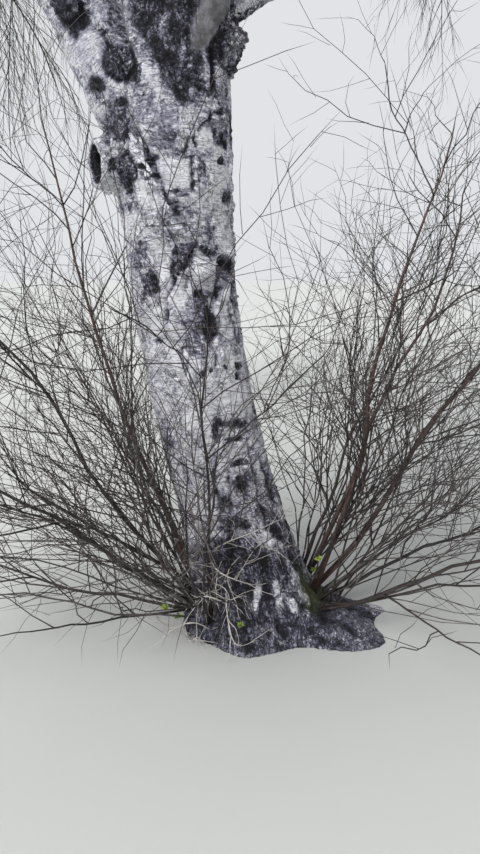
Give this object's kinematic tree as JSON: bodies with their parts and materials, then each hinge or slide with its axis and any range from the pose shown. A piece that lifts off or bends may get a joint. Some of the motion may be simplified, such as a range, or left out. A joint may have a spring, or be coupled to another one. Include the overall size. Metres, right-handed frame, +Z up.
{
  "type": "silver birch tree",
  "caption": "Old silver birch in early spring, bare: a leaning white trunk with a dark flared foot, a low fork, a weeping crown and a thicket of young shoots at its base.",
  "frame": {"origin": "middle of the flat cut under the trunk, at ground level", "axes": "+Z up, the way the tree grows; +X to the right of its front, the way its root flare runs out furthest; -Y towards the viewer"},
  "size_m": [7.8084, 8.1418, 12.5111],
  "materials": {
    "trunk_bark": "papery white and grey bark, dark and furrowed at the foot",
    "limb_bark": "grey-white bark with dark bands",
    "crown_twigs": "thin dark brown twigs",
    "shoot_twigs": "smooth red-brown to grey-brown young bark"
  },
  "bodies": {
    "root": {"bough_back_1": "limb_bark", "bough_back_2": "limb_bark", "bough_back_3": "limb_bark", "bough_centre_1": "limb_bark", "bough_centre_2": "limb_bark", "bough_centre_3": "limb_bark", "bough_centre_4": "limb_bark", "bough_centre_5": "limb_bark", "bough_centre_6": "limb_bark", "bough_centre_7": "limb_bark", "bough_front_1": "limb_bark", "bough_front_2": "limb_bark", "bough_left_1": "limb_bark", "bough_left_2": "limb_bark", "bough_left_3": "limb_bark", "bough_right_1": "limb_bark", "bough_right_2": "limb_bark", "bough_right_3": "limb_bark", "crown_back": "crown_twigs", "crown_back_1": "crown_twigs", "crown_back_2": "crown_twigs", "crown_back_3": "crown_twigs", "crown_centre": "crown_twigs", "crown_centre_1": "crown_twigs", "crown_centre_2": "crown_twigs", "crown_centre_3": "crown_twigs", "crown_centre_4": "crown_twigs", "crown_centre_5": "crown_twigs", "crown_centre_6": "crown_twigs", "crown_centre_7": "crown_twigs", "crown_front": "crown_twigs", "crown_front_1": "crown_twigs", "crown_front_2": "crown_twigs", "crown_left": "crown_twigs", "crown_left_1": "crown_twigs", "crown_left_2": "crown_twigs", "crown_left_3": "crown_twigs", "crown_right": "crown_twigs", "crown_right_1": "crown_twigs", "crown_right_2": "crown_twigs", "crown_right_3": "crown_twigs", "limb_back": "limb_bark", "limb_centre": "limb_bark", "limb_front": "limb_bark", "limb_left": "limb_bark", "limb_right": "limb_bark", "shoot_1": "shoot_twigs", "shoot_10": "shoot_twigs", "shoot_11": "shoot_twigs", "shoot_12": "shoot_twigs", "shoot_13": "shoot_twigs", "shoot_2": "shoot_twigs", "shoot_3": "shoot_twigs", "shoot_4": "shoot_twigs", "shoot_5": "shoot_twigs", "shoot_6": "shoot_twigs", "shoot_7": "shoot_twigs", "shoot_8": "shoot_twigs", "shoot_9": "shoot_twigs", "trunk": "trunk_bark"}
  },
  "joints": []
}
